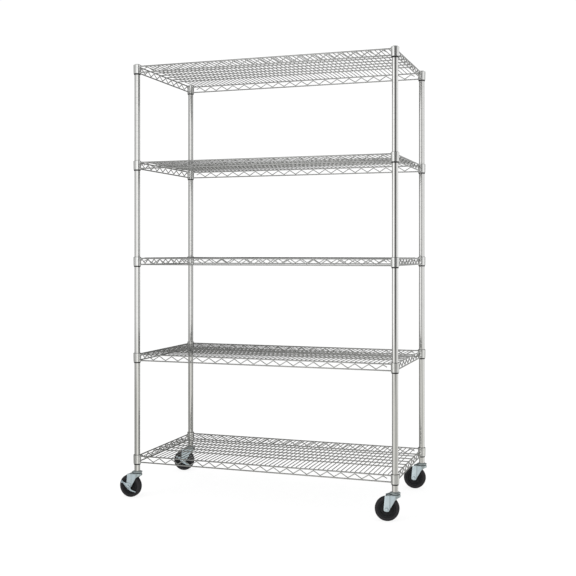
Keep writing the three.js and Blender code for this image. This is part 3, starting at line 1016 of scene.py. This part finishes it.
def add_brake_plate(brake):
    plain_edge, turned_edge = (spline([pair[i] for pair in BRAKE_EDGES], 57) for i in (0, 1))
    grid = []
    for i, (start, end) in enumerate(zip(plain_edge, turned_edge)):
        across = end - start
        width = np.linalg.norm(across)
        across = across / width
        flange = FLANGE * float(smooth(-1, 5, i)) * (1 - 0.6 * float(smooth(40, 56, i)))
        turn = min(TURN_R, 0.42 * width)
        # across the flat, round the turn and out along the flange: distance across, y
        section = [((width - turn) * t, BRAKE_Y) for t in np.linspace(0, 1, 11)]
        section += [(width - turn + turn * math.sin(angle),
                     BRAKE_Y - turn * (1 - math.cos(angle)))
                    for angle in np.linspace(0, math.pi / 2, 6)[1:]]
        section += [(width, BRAKE_Y - turn - flange * t) for t in (0.5, 1.0)]
        row = []
        for distance, y in section:
            x, z = start + across * distance
            row.append((x - TRAIL, y, z + WHEEL_Z))
        grid.append(row)
    sheet(brake, grid, 2.0, edge=0.35)


def add_toe_pad(brake):
    """Pad reaching out towards -Y, narrowed at its end and ribbed for grip."""
    grid = []
    for t in np.linspace(0, 1, 17):
        half = 5.6 * (1 - 0.22 * float(smooth(0.75, 1.0, t)))
        ridge = 0.4 * (math.sin(t * 7 * math.pi) ** 2) * float(smooth(0.12, 0.25, t))
        sag = 1.6 * t * t
        grid.append([(-31.8 + share * half * 0.79 - TRAIL, BRAKE_Y + 0.3 - 9.0 * t,
                      19.7 - share * half * 0.62 + WHEEL_Z + ridge - sag)
                     for share in np.linspace(-1, 1, 9)])
    sheet(brake, grid, 2.0, edge=0.35)


def build_brake():
    """Pressed foot brake: comma-shaped plate on the axle with a toe pad at its trailing end."""
    brake = Mesh()
    add_brake_plate(brake)
    add_toe_pad(brake)
    return drill(brake.mesh("brake_mesh", [ZINC], sharp=50), radius=4.8, low=-27.0, high=-20.5)


stem_mesh, fork_mesh, tread_mesh, core_mesh = (
    build_stem(), build_fork(), build_tread(), build_core())
nut_mesh, brake_mesh = build_nut(), build_brake()
# by whether the caster has a brake
bolt_meshes = {True: build_bolt(seat=24.25, washer_r=6.6),
               False: build_bolt(seat=21.4, washer_r=7.9)}
for corner in CORNERS:
    braked = "brake_" + corner in JOINTS
    at = caster_matrix(corner)
    fork_body, wheel = "fork_" + corner, "wheel_" + corner
    # name, mesh, body, CAD node, slot, matrix
    pieces = [
        ("swivel_stem_", stem_mesh, "frame", "caster_stem_" + corner, "caster_steel",
         at_post(corner)),
        ("swivel_fork_", fork_mesh, fork_body, "caster_fork_" + corner, "caster_steel", at),
        ("wheel_tread_", tread_mesh, wheel, wheel, "wheel_rubber", at),
        ("wheel_core_", core_mesh, wheel, wheel, "wheel_rubber", at),
        ("axle_hex_bolt_", bolt_meshes[braked], fork_body, "axle_bolt_" + corner,
         "caster_steel", at),
        ("axle_hex_nut_", nut_mesh, fork_body, "axle_nut_" + corner, "caster_steel", at),
    ]
    if braked:
        pieces.append(("foot_brake_", brake_mesh, "brake_" + corner, "brake_lever_" + corner,
                       "caster_steel", at))
    for name, *rest in pieces:
        place(name + corner, *rest)

# CAD nodes that stay: the threaded inserts inside the posts' feet
for name, ob in frame["nodes"].items():
    if name.startswith("stem_insert_"):
        ob.data.materials.clear()
        ob.data.materials.append(ZINC)


# ---------------------------------------------------------------------- studio

YAW = math.radians(18.8986)                         # camera's turn to the right of the front
RIGHT = (math.cos(YAW), math.sin(YAW), 0)           # the camera's right
TOWARDS = (math.sin(YAW), -math.cos(YAW), 0)        # from the cart to the camera
ZENITH = (0.10, 0.101, 0.103)                       # ceiling and floor in reflections
NADIR = (0.34, 0.338, 0.33)
RING_R, RING_LOW_Z, RING_HIGH_Z = 1.2, -0.9, 2.9    # metres

# What polished parts see round the cart, as (degrees right of the camera, brightness):
# above three quarters of a metre ...
RING_HIGH = (
    (-180, 0.05), (-172, 0.05), (-165, 0.50), (-158, 0.06), (-148, 0.24), (-140, 0.42),
    (-118, 0.42), (-95, 0.40), (-75, 0.50), (-62, 0.55), (-50, 0.78), (-36, 1.14), (-22, 1.30),
    (-10, 1.02), (-1, 0.55), (8, 0.34), (18, 0.18), (29, 0.07), (38, 0.12), (45, 0.50),
    (54, 0.80), (66, 0.90), (80, 0.78), (95, 0.58), (112, 0.40), (128, 0.42), (140, 0.40),
    (148, 0.06), (180, 0.05),
)
# ... and near the floor.
RING_LOW = (
    (-180, 0.05), (-172, 0.05), (-165, 0.30), (-158, 0.10), (-144, 0.30), (-126, 0.34),
    (-100, 0.26), (-78, 0.28), (-55, 0.35), (-42, 0.50), (-22, 0.92), (-8, 0.84), (6, 0.52),
    (16, 0.44), (30, 0.42), (45, 0.42), (62, 0.46), (78, 0.80), (92, 0.70), (104, 0.40),
    (120, 0.32), (132, 0.16), (140, 0.25), (148, 0.06), (180, 0.05),
)


def build_camera():
    """Level camera at 1.10 m, its picture shifted down instead of tilted."""
    data = bpy.data.cameras.new("camera")
    data.sensor_width = 36
    data.lens = 59.66
    data.shift_y = -0.0611
    data.clip_start, data.clip_end = 0.05, 100
    camera = new_object("camera", data)
    camera.location = Vector((1442.95 + CART_X, -4130.90 + CART_Y, 1099.73)) * MM
    camera.rotation_euler = (math.pi / 2, 0, YAW)
    bpy.context.scene.camera = camera


def build_floor():
    """Pale and evenly lit, so that only the faintest contact shade shows. Polished parts don't
    see it: ring and world give their reflections, above and below the horizon."""
    data = bpy.data.meshes.new("floor_mesh")
    half = 30
    data.from_pydata([(-half, -half, 0), (half, -half, 0), (half, half, 0), (-half, half, 0)],
                     [], [(0, 1, 2, 3)])
    material = bpy.data.materials.new("pale_floor")
    shader = Shader(material)
    matt = shader.node("BsdfDiffuse", {0: (0.97, 0.97, 0.97)}).outputs[0]
    glow = shader.node("Emission", {0: (1, 1, 1), 1: 1.02}).outputs[0]
    lit = shader.mix_shader(0.83, matt, glow)
    clear = shader.node("BsdfTransparent").outputs[0]
    shader.feed(shader.out, shader.mix_shader(shader.glossy_ray(), lit, clear))
    data.materials.append(material)
    new_object("floor", data)


def ring_ramp(shader, turn, stops, tint):
    """Colour by turn, which runs from 0 at -180 degrees to 1 at 180."""
    ramp = shader.node("ValToRGB", {0: turn})
    ramp.color_ramp.interpolation = "EASE"
    elements = ramp.color_ramp.elements
    while len(elements) > 1:
        elements.remove(elements[-1])
    for i, (degrees, value) in enumerate(stops):
        position = (degrees + 180) / 360
        element = elements[0] if i == 0 else elements.new(position)
        element.position = position
        element.color = (value * tint[0], value * tint[1], value * tint[2], 1)
    return ramp.outputs[0]


def ring_material():
    material = bpy.data.materials.new("studio_ring")
    shader = Shader(material)

    def vector_math(operation, first, second):
        return shader.node("VectorMath", {0: first, 1: second}, operation=operation).outputs

    place_seen = shader.node("NewGeometry").outputs["Position"]
    offset = vector_math("SUBTRACT", place_seen, (CART_X * MM, CART_Y * MM, 0))[0]
    z = shader.axes(offset)[2]
    azimuth = shader.math("ARCTAN2", vector_math("DOT_PRODUCT", offset, RIGHT)["Value"],
                          vector_math("DOT_PRODUCT", offset, TOWARDS)["Value"])
    turn = shader.math("ADD", shader.math("DIVIDE", azimuth, 2 * math.pi), 0.5)
    near_floor = shader.remap(z, (0.75, 0.35))
    color = shader.mix(near_floor, ring_ramp(shader, turn, RING_HIGH, tint=(1, 1, 0.995)),
                       ring_ramp(shader, turn, RING_LOW, tint=(1.0, 0.995, 0.955)))
    # the wall is bright only about the level: steep rays find the darker ceiling and floor
    steep = shader.axes(shader.node("NewGeometry").outputs["Incoming"])[2]
    color = shader.mix(shader.remap(steep, (-0.24, -0.46)), color, ZENITH)
    color = shader.mix(shader.remap(steep, (0.30, 0.56), (0, 0.85)), color, NADIR)
    shader.feed(shader.out, shader.node("Emission", {0: color}).outputs[0])
    material.cycles.emission_sampling = "NONE"
    return material


def build_ring():
    """Studio wall of soft lights and dark gaps close round the cart, seen in reflections only."""
    count = 96
    verts = [(CART_X * MM + RING_R * math.cos(a), CART_Y * MM + RING_R * math.sin(a), z)
             for z in (RING_LOW_Z, RING_HIGH_Z)
             for a in np.linspace(0, 2 * math.pi, count, endpoint=False)]
    faces = [(k, (k + 1) % count, count + (k + 1) % count, count + k) for k in range(count)]
    data = bpy.data.meshes.new("studio_ring_mesh")
    data.from_pydata(verts, [], faces)
    data.materials.append(ring_material())
    ring = new_object("studio_ring", data)
    ring.visible_camera = ring.visible_diffuse = ring.visible_shadow = False
    ring.visible_transmission = ring.visible_volume_scatter = False


def build_world():
    """White to the eye and to matt surfaces; to polished ones, plain ceiling and floor greys."""
    world = bpy.data.worlds.new("studio")
    bpy.context.scene.world = world
    shader = Shader(world, "OutputWorld")
    up = shader.axes(shader.node("TexCoord").outputs["Generated"])[2]
    greys = shader.mix(shader.remap(up, (-0.1, 0.1)), NADIR, ZENITH)
    soft = shader.node("Background", {0: (1, 1, 1), 1: 1.04}).outputs[0]
    reflected = shader.node("Background", {0: greys, 1: 1.0}).outputs[0]
    shader.feed(shader.out, shader.mix_shader(shader.glossy_ray(), soft, reflected))


def area_light(name, azimuth, elevation, distance, size, power):
    """Soft light, azimuth degrees right of the camera's side, facing the cart's middle."""
    data = bpy.data.lights.new(name, "AREA")
    data.shape = "RECTANGLE"
    data.size, data.size_y = size
    data.energy = power
    light = new_object(name, data)
    turn, rise = math.radians(azimuth), math.radians(elevation)
    level_way = Vector(RIGHT) * math.sin(turn) + Vector(TOWARDS) * math.cos(turn)
    outward = level_way * math.cos(rise) + Vector((0, 0, math.sin(rise)))
    light.location = Vector((CART_X * MM, CART_Y * MM, 0.9)) + outward * distance
    light.rotation_euler = (-outward).to_track_quat("-Z", "Y").to_euler()
    light.visible_glossy = False


build_camera()
build_floor()
build_ring()
build_world()
area_light("key", azimuth=-48, elevation=38, distance=4.5, size=(2.2, 2.2), power=60)
area_light("fill", azimuth=60, elevation=25, distance=4.5, size=(1.6, 2.4), power=18)

view = bpy.context.scene.view_settings
view.view_transform = "Standard"
view.look = "None"
view.exposure = 0.0
view.gamma = 1.0
